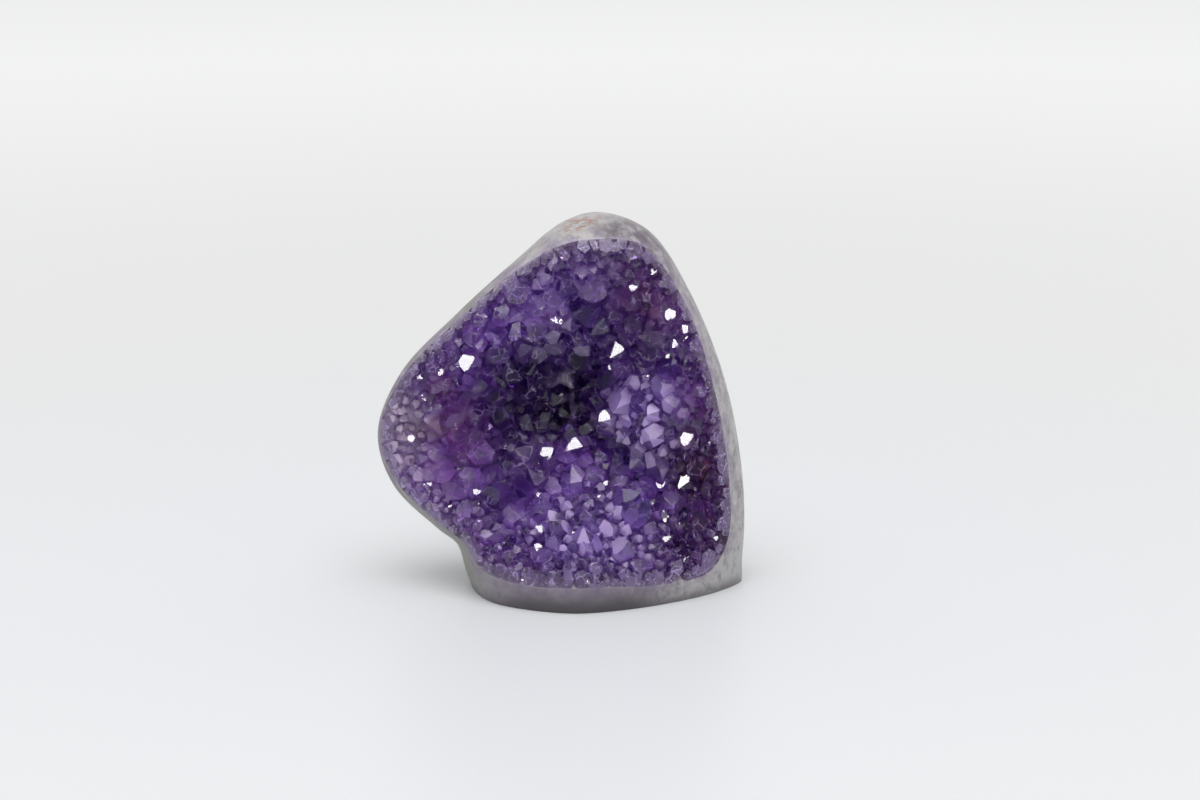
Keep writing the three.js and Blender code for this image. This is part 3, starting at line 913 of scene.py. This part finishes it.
@dataclass
class BlockSkin:
    """The closed skin of the whole block, and of the space in its hollow."""

    form: GeodeForm
    placement: Placement
    around: int = 360
    rings_front: int = 80
    rings_back: int = 80
    seat_around: int = 240
    seat_rings: int = 64
    foot_edge: float = 0.5
    thin_edge: float = 6.0
    mouth: float = 20.0
    grain: Grain = Grain(11)
    back_grain: float = 0.9
    back_grain_size: float = 9.0
    back_grain_sink: float = 0.4
    bed_grain: float = 0.5
    bed_grain_size: float = 4.0

    def soft_floor(self, z: np.ndarray) -> np.ndarray:
        """z above the foot, 0 below it, and a parabola of half width foot_edge between them."""
        r = self.foot_edge
        return np.where(z > r, z, np.where(z < -r, 0.0, (z + r) ** 2 / (4.0 * r)))

    def block(self, name: str, inset: float = 0.0) -> bpy.types.Object:
        """The block: front, rounded rim and back, with the sawn foot pressed flat on z = 0.

        Rings of the stone's outline are drawn in to rho = sin(t), with t running from 0 at the middle of
        the front over the widest line to 0 at the middle of the back. The back carries layered grain that
        fades out at the widest line. inset draws the front and the rim in by that much.

        Args:
            name: the object's name.
            inset: how far inside the true surface the skin lies.

        Returns:
            The object.
        """
        form = self.form
        u = np.arange(self.around)[None] / self.around
        rho = np.sin(np.linspace(0.0, np.pi / 2, self.rings_front + 1)[1:])[:, None]
        drawn = 1.0 - inset / form.mean_radius
        x, z = form.drawn_in(form.stone, u, rho * drawn)
        front = np.stack([x, form.front(x, z, inset), z], axis=-1)
        rho = np.sin(np.linspace(np.pi / 2, 0.0, self.rings_back + 1)[1:-1])[:, None]
        x, z = form.drawn_in(form.stone, u, rho * drawn)
        rear = np.stack([x, form.back(x, z, rho) - inset, z], axis=-1)
        grain = self.back_grain * self.grain.layered(rear, self.back_grain_size, 5) - self.back_grain_sink
        rear[..., 1] += grain * smooth_step(0.0, 0.25, 1.0 - rho)
        rings = np.concatenate([front, rear])
        rings[..., 2] = self.soft_floor(rings[..., 2])
        cx, cz = form.middle
        first = np.array([cx, float(form.front(cx, cz, inset)), cz])
        last = np.array([cx, rear[-1, :, 1].mean(), cz])
        return self.placed_skin(name, first, rings, last)

    def seat_rho(self, overrun: float) -> tuple[np.ndarray, np.ndarray]:
        """Shares of the outline's length, and of the way out to it (overrun * sin(t)), on the seat."""
        t = np.linspace(0.0, np.pi / 2, self.seat_rings + 1)[1:]
        return np.arange(self.seat_around)[None] / self.seat_around, np.sin(t)[:, None] * overrun

    def hollow(self, name: str, lift: float, overrun: float = 1.03) -> bpy.types.Object:
        """The space in front of the seat raised by lift, out past the front of the stone.

        Args:
            name: the object's name.
            lift: how far the seat is raised towards the opening, or sunk if negative.
            overrun: share of the hollow's outline that the seat is carried out to, so that it opens cleanly.

        Returns:
            The object.
        """
        form = self.form
        x, z = form.drawn_in(form.hollow, *self.seat_rho(overrun))
        floor = np.stack([x, form.seat(x, z, lift), z], axis=-1)
        mouth = floor[-1:].copy()
        mouth[..., 1] = form.front_y - self.mouth
        cx, cz = form.middle
        first = np.array([cx, float(form.seat(cx, cz, lift)), cz])
        last = np.array([cx, form.front_y - self.mouth, cz])
        return self.placed_skin(name, first, np.concatenate([floor, mouth]), last)

    def bed(self, name: str, thickness: float, depth: float, overrun: float = 1.03) -> bpy.types.Object:
        """Solid quartz from depth under the seat to thickness over it, its top roughened by grain.

        Next to the hollow's outline it thins out to nothing.

        Args:
            name: the object's name.
            thickness: height over the seat.
            depth: how far it reaches under the seat.
            overrun: share of the hollow's outline that it is carried out to.

        Returns:
            The object.
        """
        form = self.form
        x, z = form.drawn_in(form.hollow, *self.seat_rho(overrun))
        low = np.stack([x, form.seat(x, z, -depth), z], axis=-1)
        rho, radius = form.hollow.reach(x, z, form.middle)
        lift = thickness * smooth_step(0.0, self.thin_edge, (1.0 - rho) * radius)
        high = np.stack([x, form.seat(x, z, lift), z], axis=-1)
        high[..., 1] += self.bed_grain * self.grain.layered(high, self.bed_grain_size, 3)
        cx, cz = form.middle
        first = np.array([cx, float(form.seat(cx, cz, -depth)), cz])
        last = np.array([cx, high[0, :, 1].mean(), cz])
        return self.placed_skin(name, first, np.concatenate([low, high[::-1]]), last)

    def placed_skin(self, name: str, first: np.ndarray, rings: np.ndarray,
                    last: np.ndarray) -> bpy.types.Object:
        """A closed skin from points in the block's own axes."""
        return skin_object(name, *(self.placement.metres(part) for part in (first, rings, last)))

    def dress(self, piece: bpy.types.Object, material: bpy.types.Material, sharp_angle: float) -> None:
        """Shades a finished piece, marks where its vertices lie and gives it its material.

        Args:
            piece: the piece.
            material: its material.
            sharp_angle: edges that turn by more than this stay sharp.
        """
        piece.data.shade_smooth()
        piece.data.set_sharp_from_angle(angle=sharp_angle)
        mark_places(piece.data, self.form, self.placement)
        piece.data.materials.clear()
        piece.data.materials.append(material)


@dataclass
class StoneMatrix:
    """The stone that the crystals grew on."""

    skin: BlockSkin
    finish: StoneFinish
    sharp_angle: float = math.radians(40)

    def build(self) -> bpy.types.Object:
        """The block less its hollow, with the ground front, the back and the seat marked by face layer."""
        stone = self.skin.block("stone_body")
        face_mark(stone.data, "quarter", 0.0)
        space = self.skin.hollow("hollow_space", 0.0)
        face_mark(space.data, "quarter", 1.0)
        carve(stone, [(Cut.TAKE_AWAY, space)])
        self.skin.dress(stone, self.finish.material(), self.sharp_angle)
        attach(stone, "root")
        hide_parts("stone_matrix")
        return stone


# -----------------------------------------------------------------------------------------------------------
# The crystals
# -----------------------------------------------------------------------------------------------------------


@dataclass
class Sowing:
    """Where crystals stand: places on the raised seat, with the spacing that each keeps."""

    form: GeodeForm
    lift: float
    tries: int = 12000
    first_tries: int = 72000
    overrun: float = 1.01
    least_slope: float = 0.22
    rows_at_once: int = 500
    middle_spacing: float = 2.8
    rim_spacing: float = 2.2
    spread: float = 0.28
    spread_limits: tuple[float, float] = (0.5, 1.8)
    changes: tuple[Swelling, ...] = (
        Swelling(9, 20, 18, 13, -0.15),
        Swelling(20, 46, 13, 12, -0.18),
        Swelling(-8, 70, 16, 16, 0.25),
    )
    giants: float = 0.008
    giant_spacing: tuple[float, float] = (4.2, 5.4)
    no_giants: Swelling = Swelling(20, 46, 14, 14, 1.0)

    def spacing(self, x: np.ndarray, z: np.ndarray, random: np.random.Generator) -> np.ndarray:
        """Spacing in millimetres: closer at the rim and on the mounds, wider in the upper part.

        It shrinks from middle_spacing to rim_spacing, is changed by a share at each of the changes, and is
        spread by the exponential of a normal number. A few places have a giant's spacing instead.
        """
        rho, _ = self.form.hollow.reach(x, z, self.form.middle)
        size = blend(self.middle_spacing, self.rim_spacing, smooth_step(0.45, 0.95, rho))
        for change in self.changes:
            size *= 1.0 + change.rise(x, z)
        size *= np.exp(random.normal(0.0, self.spread, x.shape)).clip(*self.spread_limits)
        share = self.giants * smooth_step(0.9, 0.6, rho) * (1.0 - self.no_giants.rise(x, z))
        giant = random.random(x.shape) < share
        return np.where(giant, random.uniform(*self.giant_spacing, x.shape), size)

    def places(self, random: np.random.Generator) -> tuple[np.ndarray, np.ndarray, np.ndarray]:
        """Scattered places, none closer to another than the mean of their spacings.

        Random first tries are spread evenly as seen from the front, and then thinned by slope, so that
        those left are even over the seat's own area. In rounds, each try left that comes before all the
        tries it is too close to is kept, and those close to it are dropped.

        Args:
            random: the source of random numbers.

        Returns:
            Points, normals and spacings.
        """
        u = random.random(self.first_tries)
        rho = np.sqrt(random.random(self.first_tries)) * self.overrun
        x, z = self.form.drawn_in(self.form.hollow, u, rho)
        normal = self.form.seat_normal(x, z)
        steep = 1.0 / np.maximum(-normal[:, 1], self.least_slope)
        keep = np.nonzero(random.random(x.shape) < steep / steep.max())[0][: self.tries]
        x, z, normal = x[keep], z[keep], normal[keep]
        point = np.stack([x, self.form.seat(x, z, self.lift), z], axis=-1)
        gap = self.spacing(x, z, random)
        early, late = self.close_pairs(point, gap)
        free = np.ones(len(x), bool)
        taken = np.zeros(len(x), bool)
        while free.any():
            blocked = np.zeros(len(x), bool)
            live = free[early] & free[late]
            blocked[late[live]] = True
            chosen = free & ~blocked
            taken |= chosen
            free &= ~chosen
            free[late[chosen[early]]] = False
        return point[taken], normal[taken], gap[taken]

    def close_pairs(self, point: np.ndarray, gap: np.ndarray) -> tuple[np.ndarray, np.ndarray]:
        """Pairs of tries that are too close together, the earlier first. The giants come before the rest."""
        rank = np.arange(len(gap)) + np.where(gap > self.giant_spacing[0], 0, len(gap))
        early, late = [], []
        for start in range(0, len(point), self.rows_at_once):
            rows = slice(start, start + self.rows_at_once)
            away = np.linalg.norm(point[rows, None] - point[None], axis=-1)
            close = away < 0.5 * (gap[rows, None] + gap[None])
            a, b = np.nonzero(close & (rank[rows, None] < rank[None]))
            early.append(a + start)
            late.append(b)
        return np.concatenate(early), np.concatenate(late)


def turned(axis: np.ndarray, side: np.ndarray, angle: float) -> np.ndarray:
    """Directions square to their axes, turned about them by an angle in radians."""
    return math.cos(angle) * side + math.sin(angle) * np.cross(axis, side)


def turns(axis: np.ndarray, side: np.ndarray) -> np.ndarray:
    """3 by 3 turns that lay each crystal's first side along side and its long axis along axis."""
    return np.stack([side, np.cross(axis, side), axis], axis=2)


def unit(rows: np.ndarray) -> np.ndarray:
    """Each row made one long."""
    return rows / np.linalg.norm(rows, axis=1)[:, None]


@dataclass(frozen=True)
class Chosen:
    """A listed crystal: its place, width and depth of colour, and whether a face mirrors a lamp."""

    x: float
    z: float
    width: float
    tone: float = 0.4
    shines: bool = True


@dataclass(frozen=True)
class QuartzForms:
    """Closed quartz crystals: six prism faces and six point faces, each with its own face distances."""

    face_angle: float = math.radians(51.8)
    prism_spread: tuple[float, float] = (0.86, 1.12)
    major_spread: tuple[float, float] = (-0.05, 0.05)
    minor_spread: tuple[float, float] = (0.02, 0.34)
    slack: float = 1e-7

    def shining_axis(self, normal: np.ndarray, shine: np.ndarray) -> np.ndarray:
        """The long axis, turned to the seat's normal, of a crystal with a point face looking along shine."""
        across = normal - shine * (normal @ shine)
        return shine * math.cos(self.face_angle) + across / np.linalg.norm(across) * math.sin(self.face_angle)

    def faces(self) -> np.ndarray:
        """Outward directions of the prism faces, the point faces and the foot."""
        turn = np.radians(np.arange(6) * 60.0)
        prism = np.stack([np.cos(turn), np.sin(turn), 0 * turn], axis=1)
        lean, rise = math.sin(self.face_angle), math.cos(self.face_angle)
        point = np.stack([lean * np.cos(turn), lean * np.sin(turn), np.full(6, rise)], axis=1)
        return np.vstack([prism, point, [[0.0, 0.0, -1.0]]])

    def distances(
        self, radius: np.ndarray, length: np.ndarray, root: float, random: np.random.Generator
    ) -> np.ndarray:
        """How far each face lies from the crystal's own origin on the bed.

        Every second point face grows more slowly than its neighbours and so stays larger, as on real quartz.

        Args:
            radius: inner radius of each prism.
            length: height of each tip over the bed.
            root: how far the foot lies below it.
            random: the source of random numbers.

        Returns:
            One row of 13 distances for each crystal.
        """
        count = len(radius)
        prism = radius[:, None] * random.uniform(*self.prism_spread, (count, 6))
        major = random.uniform(*self.major_spread, (count, 6))
        minor = random.uniform(*self.minor_spread, (count, 6))
        odd = (np.arange(6) % 2).astype(bool)
        point = length[:, None] * math.cos(self.face_angle) + radius[:, None] * np.where(odd, minor, major)
        return np.hstack([prism, point, np.full((count, 1), root)])

    def solids(self, distance: np.ndarray) -> list[tuple[np.ndarray, list[list[int]]]]:
        """The corner points and faces of each crystal.

        Every three faces that aren't parallel meet in one point, and those points that lie behind all 13
        faces are the corners. A face's corners are put in order by their angle about its middle.

        Args:
            distance: each crystal's 13 face distances.

        Returns:
            For each crystal its corners and its faces as lists of corner numbers.
        """
        normal = self.faces()
        count = len(normal)
        threes = [t for t in combinations(range(count), 3) if abs(np.linalg.det(normal[list(t)])) > 1e-3]
        three = np.asarray(threes)
        meet = np.einsum("tij,ntj->nti", np.linalg.inv(normal[three]), distance[:, three])
        inside = (np.einsum("nti,pi->ntp", meet, normal) <= distance[:, None, :] + self.slack).all(axis=2)
        first = np.concatenate([[0], np.cumsum(inside.sum(axis=1))])
        number = (np.cumsum(inside.ravel()) - 1).reshape(inside.shape) - first[:-1, None]
        on_face = (three[:, :, None] == np.arange(count)).any(axis=1)
        loops: list[list[list[int]]] = [[] for _ in range(len(distance))]
        for face in range(count):
            across = np.cross(normal[face], [0.3, 0.5, 0.81])
            across /= np.linalg.norm(across)
            up = np.cross(normal[face], across)
            here = np.nonzero(on_face[:, face])[0]
            real = inside[:, here]
            size = real.sum(axis=1)
            middle = (meet[:, here] * real[..., None]).sum(axis=1) / np.maximum(size, 1)[:, None]
            arm = meet[:, here] - middle[:, None]
            angle = np.where(real, np.arctan2(arm @ up, arm @ across), np.inf)
            order = np.take_along_axis(number[:, here], np.argsort(angle, axis=1), axis=1)
            for crystal in np.nonzero(size >= 3)[0]:
                loops[crystal].append(order[crystal, : size[crystal]].tolist())
        corners = meet[inside]
        return [(corners[first[i] : first[i + 1]], loops[i]) for i in range(len(distance))]


@dataclass
class AmethystDruse:
    """The carpet of crystals, one see-through solid."""

    skin: BlockSkin
    finish: CrystalFinish
    mirrors: np.ndarray
    forms: QuartzForms = QuartzForms()
    bed_thickness: float = 2.2
    sunk: float = 1.2
    ground_gap: float = 0.03
    root: float = 2.6
    stoutness: tuple[float, float] = (0.58, 0.76)
    least_length: float = 1.27
    stem: tuple[float, float] = (0.1, 1.1)
    tilt: float = 0.30
    tone_shape: tuple[float, float] = (1.1, 1.9)
    face_tone: float = 0.36
    bed_tone: float = 0.4
    sharp_angle: float = math.radians(16)
    seed: int = 5
    clearing: float = 0.55
    chosen_lift: float = 1.0
    glints: float = 0.018
    glint_width: float = 2.3
    flash_angle: float = math.radians(11)
    turn_away: float = math.radians(30)
    chosen: tuple[Chosen, ...] = (
        Chosen(-4, 36.5, 5.2), Chosen(4.5, 38, 5.2), Chosen(13, 47, 4.6, 0.2), Chosen(34, 43.5, 4.6, 0.2),
        Chosen(29.5, 77.5, 3.8), Chosen(7, 69.5, 4.4), Chosen(44, 19.5, 3.6), Chosen(-11, 25, 3.6),
        Chosen(-5, 18.5, 3.0), Chosen(-5.5, 14.5, 3.0), Chosen(-25, 64, 6.0), Chosen(16, 65.5, 6.0),
        Chosen(19.5, 84.5, 2.6), Chosen(-24, 27, 2.6), Chosen(9.5, 52, 3.2), Chosen(28, 15, 2.6),
        Chosen(-10, 45, 5.5, 0.3, False), Chosen(6.5, 34, 4.6, 0.3, False), Chosen(21.5, 35, 4.6, 0.2, False),
        Chosen(-18.5, 10, 2.4), Chosen(6, 78.5, 8.0, 1.0, False), Chosen(-14, 60, 7.0, 0.9, False),
        Chosen(-19, 53, 6.0, 0.7, False),
    )  # fmt: skip

    @property
    def shine(self) -> np.ndarray:
        """The direction in which a face must look to mirror the front highlight to the camera."""
        return self.mirrors[0]

    def towards_shine(self, axis: np.ndarray) -> np.ndarray:
        """Directions square to long axes, towards the shine."""
        return self.shine - axis * (axis @ self.shine)[:, None]

    def chosen_frames(self) -> tuple[np.ndarray, np.ndarray, np.ndarray, np.ndarray]:
        """The listed crystals.

        Returns: Points, turns, widths and tones. The first side of a crystal that shines is its shining
        one, and one that doesn't shine is turned so that an edge lies there.
        """
        form = self.skin.form
        x, z, width, tone = np.array([(c.x, c.z, c.width, c.tone) for c in self.chosen], float).T
        point = np.stack([x, form.seat(x, z, self.bed_thickness + self.chosen_lift), z], axis=-1)
        pairs = zip(self.chosen, form.seat_normal(x, z))
        axis = np.array([self.forms.shining_axis(n, self.shine) if c.shines else n for c, n in pairs])
        side = unit(self.towards_shine(axis))
        shines = np.array([c.shines for c in self.chosen])
        side = np.where(shines[:, None], side, turned(axis, side, self.turn_away))
        return point, turns(axis, side), width, tone

    def sown_turns(
        self, normal: np.ndarray, width: np.ndarray, glints: np.ndarray, random: np.random.Generator
    ) -> np.ndarray:
        """How the sown crystals stand.

        Each leans at random from the seat's normal and is turned at random. The glints face the shine, and
        a wider one that would mirror a highlight by chance is turned away from it.

        Args:
            normal: the seat's normals.
            width: the spacings.
            glints: which of them are glints.
            random: the source of random numbers.

        Returns:
            A 3 by 3 turn for each.
        """
        axis = unit(normal + random.normal(0.0, self.tilt, normal.shape))
        side = np.cross(axis, random.normal(size=normal.shape))
        axis[glints] = [self.forms.shining_axis(n, self.shine) for n in normal[glints]]
        side[glints] = self.towards_shine(axis[glints])
        side = unit(side)
        looks = np.einsum("nij,kj,mi->nkm", turns(axis, side), self.forms.faces()[:12], self.mirrors)
        flash = (looks.max(axis=(1, 2)) > math.cos(self.flash_angle)) & (width > self.glint_width)
        side[flash] = turned(axis, side, self.turn_away)[flash]
        return turns(axis, side)

    def crystals(self) -> bpy.types.Collection:
        """Every crystal in its place, each a closed object of its own in one collection."""
        random = np.random.default_rng(self.seed)
        point, normal, gap = Sowing(self.skin.form, self.bed_thickness).places(random)
        own_point, own_turn, own_width, own_tone = self.chosen_frames()
        away = np.linalg.norm(point[:, None] - own_point[None], axis=2)
        free = (away > own_width * self.clearing).all(axis=1)
        point, normal, gap = point[free], normal[free], gap[free]
        count = len(point)
        LOG.info("%d crystals sown", count)
        glints = random.random(count) < self.glints * (gap < self.glint_width)
        radius = gap * random.uniform(*self.stoutness, count)
        length = radius * (self.least_length + random.uniform(*self.stem, count))
        turn = np.concatenate([self.sown_turns(normal, gap, glints, random), own_turn])
        tone = np.concatenate([random.beta(*self.tone_shape, count), own_tone])
        point = np.concatenate([point, own_point])
        radius = np.concatenate([radius, own_width / 2])
        length = np.concatenate([length, own_width])
        solids = self.forms.solids(self.forms.distances(radius, length, self.root, random))
        group = bpy.data.collections.new("crystals")
        bpy.context.scene.collection.children.link(group)
        for i, (corners, faces) in enumerate(solids):
            mesh = bpy.data.meshes.new("crystal")
            placed = self.skin.placement.metres(corners @ turn[i].T + point[i])
            mesh.from_pydata(placed.tolist(), [], faces)
            face_mark(mesh, "ground", 0.0)
            face_mark(mesh, "tone", (tone[i] + random.normal(0.0, self.face_tone, len(faces))).clip(0.0, 1.0))
            group.objects.link(bpy.data.objects.new("crystal", mesh))
        return group

    def build(self) -> bpy.types.Object:
        """Bed and crystals joined, kept to the sunk hollow and ground just under the stone's front."""
        druse = self.skin.bed("amethyst_carpet", self.bed_thickness, self.sunk + 1.0)
        space = self.skin.hollow("sunk_hollow", -self.sunk)
        block = self.skin.block("ground_front", self.ground_gap)
        for mesh, ground in ((druse.data, 0.0), (space.data, 0.0), (block.data, 1.0)):
            face_mark(mesh, "ground", ground)
            face_mark(mesh, "tone", self.bed_tone)
        carve(druse, [(Cut.JOIN, self.crystals()), (Cut.KEEP_INSIDE, space), (Cut.KEEP_INSIDE, block)])
        keep_main_body(druse)
        self.skin.dress(druse, self.finish.material(), self.sharp_angle)
        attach(druse, "root")
        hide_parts("amethyst_druse")
        return druse


# -----------------------------------------------------------------------------------------------------------
# The studio
# -----------------------------------------------------------------------------------------------------------


@dataclass(frozen=True)
class Lamp:
    """A square soft lamp that faces the object.

    Its name, its middle and side in metres, its watts, and False for a lamp that shows only in reflections.
    """

    name: str
    place: tuple[float, float, float]
    size: float
    power: float
    lights_stone: bool = False


@dataclass
class Studio:
    """A pale table under a big soft lamp, in a pale room that is darker on the camera's side."""

    elevation: float = 13.0
    distance: float = 0.818
    lens: float = 90.0
    aim_right: float = 0.0107
    aim_up: float = 0.0006
    lamp_aim: float = 0.05
    lamp_colour: Colour = (1.0, 0.99, 0.98)
    top_lamp: Lamp = Lamp("top_lamp", (0.0, -0.3, 1.3), 1.3, 11.6, True)
    highlights: tuple[Lamp, ...] = (
        Lamp("front_highlight", (0.0, -0.77, 0.97), 0.30, 5.0),
        Lamp("left_highlight", (-0.75, -0.6, 0.85), 0.2, 2.8),
        Lamp("right_highlight", (0.75, -0.55, 0.9), 0.2, 2.8),
    )
    table_radius: float = 3.0
    table_corners: int = 96
    table_middle: Colour = (0.72, 0.74, 0.76)
    table_far: Colour = (0.74, 0.75, 0.74)
    table_glow: Colour = (0.99, 1.0, 0.99)
    room_colour: Colour = (0.77, 0.765, 0.78)
    backdrop: float = 0.9

    @property
    def to_camera(self) -> np.ndarray:
        """The direction from the object to the camera."""
        slope = math.radians(self.elevation)
        return np.array([0.0, -math.cos(slope), math.sin(slope)])

    @property
    def mirror_directions(self) -> np.ndarray:
        """For each highlight, the way a face must look to show it to the camera: half way between."""
        to_lamp = np.array([h.place for h in self.highlights]) - (0.0, 0.0, self.lamp_aim)
        return unit(self.to_camera + unit(to_lamp))

    def camera(self) -> bpy.types.Object:
        """The camera, level with the object's front and looking down on it."""
        low, high = (np.asarray(c) for c in CAD_BOX)
        middle = (low + high) / 2
        slope = math.radians(self.elevation)
        up = np.array([0.0, math.sin(slope), math.cos(slope)])
        target = middle + np.array([self.aim_right, 0.0, 0.0]) + up * self.aim_up
        data = bpy.data.cameras.new("camera")
        data.lens = self.lens
        data.sensor_width = 36.0
        data.clip_start = 0.01
        camera = bpy.data.objects.new("camera", data)
        camera.location = target + self.to_camera * self.distance
        camera.rotation_euler = (math.radians(90.0 - self.elevation), 0.0, 0.0)
        bpy.context.scene.collection.objects.link(camera)
        bpy.context.scene.camera = camera
        return camera

    def floor(self) -> bpy.types.Object:
        """A wide pale table top, cooler in the middle, that glows faintly where the lamps don't reach."""
        u = np.arange(self.table_corners) / self.table_corners * 2 * np.pi
        rim = np.stack([self.table_radius * np.cos(u), self.table_radius * np.sin(u), 0 * u], axis=1)
        mesh = bpy.data.meshes.new("table")
        mesh.from_pydata(rim.tolist(), [], [list(range(self.table_corners))])
        material, g = new_material("table_top")
        place = g.node("TexCoord").outputs["Object"]
        away = g.node("VectorMath", {0: place}, operation="LENGTH").outputs["Value"]
        colour = g.mix(g.span(away, 0.1, 0.4), self.table_middle, self.table_far)
        values = {"Base Color": colour, "Roughness": 0.38, "Specular IOR Level": 0.35}
        values |= {"Emission Color": rgba(self.table_glow),
                   "Emission Strength": g.span(away, 0.1, 1.4, 0.07, 0.34)}
        g.surface(g.node("BsdfPrincipled", values))
        mesh.materials.append(material)
        table = bpy.data.objects.new("table", mesh)
        bpy.context.scene.collection.objects.link(table)
        return table

    def hang(self, lamp: Lamp) -> None:
        """Puts a lamp in the scene, facing the object."""
        data = bpy.data.lights.new(lamp.name, "AREA")
        data.shape = "SQUARE"
        data.size = lamp.size
        data.energy = lamp.power
        data.color = self.lamp_colour
        hung = bpy.data.objects.new(lamp.name, data)
        hung.location = lamp.place
        way = Vector((0.0, 0.0, self.lamp_aim)) - Vector(lamp.place)
        hung.rotation_euler = way.to_track_quat("-Z", "Y").to_euler()
        hung.visible_diffuse = lamp.lights_stone
        bpy.context.scene.collection.objects.link(hung)

    def room(self) -> None:
        """The room: pale all round, brighter above and behind the object than on the camera's side."""
        world = bpy.data.worlds.new("pale_room")
        world.use_nodes = True
        bpy.context.scene.world = world
        g = Graph(world.node_tree)
        way = g.node("TexCoord").outputs["Generated"]
        behind = g.span(g.part(way, Axis.BACK), -0.8, 0.3, 0.55, 1.0)
        above = g.span(g.part(way, Axis.UP), -0.1, 0.9, 0.65, 1.0)
        plain = g.node("LightPath").outputs["Is Camera Ray"]
        lit = g.times(g.math("SUBTRACT", 1.0, plain), g.times(behind, above))
        strength = g.math("ADD", g.times(plain, self.backdrop), lit)
        g.surface(g.node("Background", {"Color": rgba(self.room_colour), "Strength": strength}),
                  "OutputWorld")

    def build(self) -> None:
        """Camera, table, lamps and room, with colours shown as they are lit."""
        bpy.context.scene.view_settings.view_transform = "Standard"
        self.camera()
        self.floor()
        for lamp in (self.top_lamp, *self.highlights):
            self.hang(lamp)
        self.room()


def write_sizes() -> None:
    """Brings the placements of the scene's objects up to date."""
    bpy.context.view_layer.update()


def main() -> None:
    """Builds the studio, the stone and the druse in order."""
    logging.basicConfig(level=logging.INFO, format="%(message)s")
    studio = Studio()
    studio.build()
    form = GeodeForm()
    placement = Placement.from_frame(form)
    place = BlockPlace(placement)
    skin = BlockSkin(form, placement)
    druse = AmethystDruse(skin, CrystalFinish(place), studio.mirror_directions)
    for maker in (StoneMatrix(skin, StoneFinish(place)), druse):
        piece = maker.build()
        LOG.info("%s: %d faces", piece.name, len(piece.data.polygons))
    write_sizes()


if __name__ == "__main__":
    main()
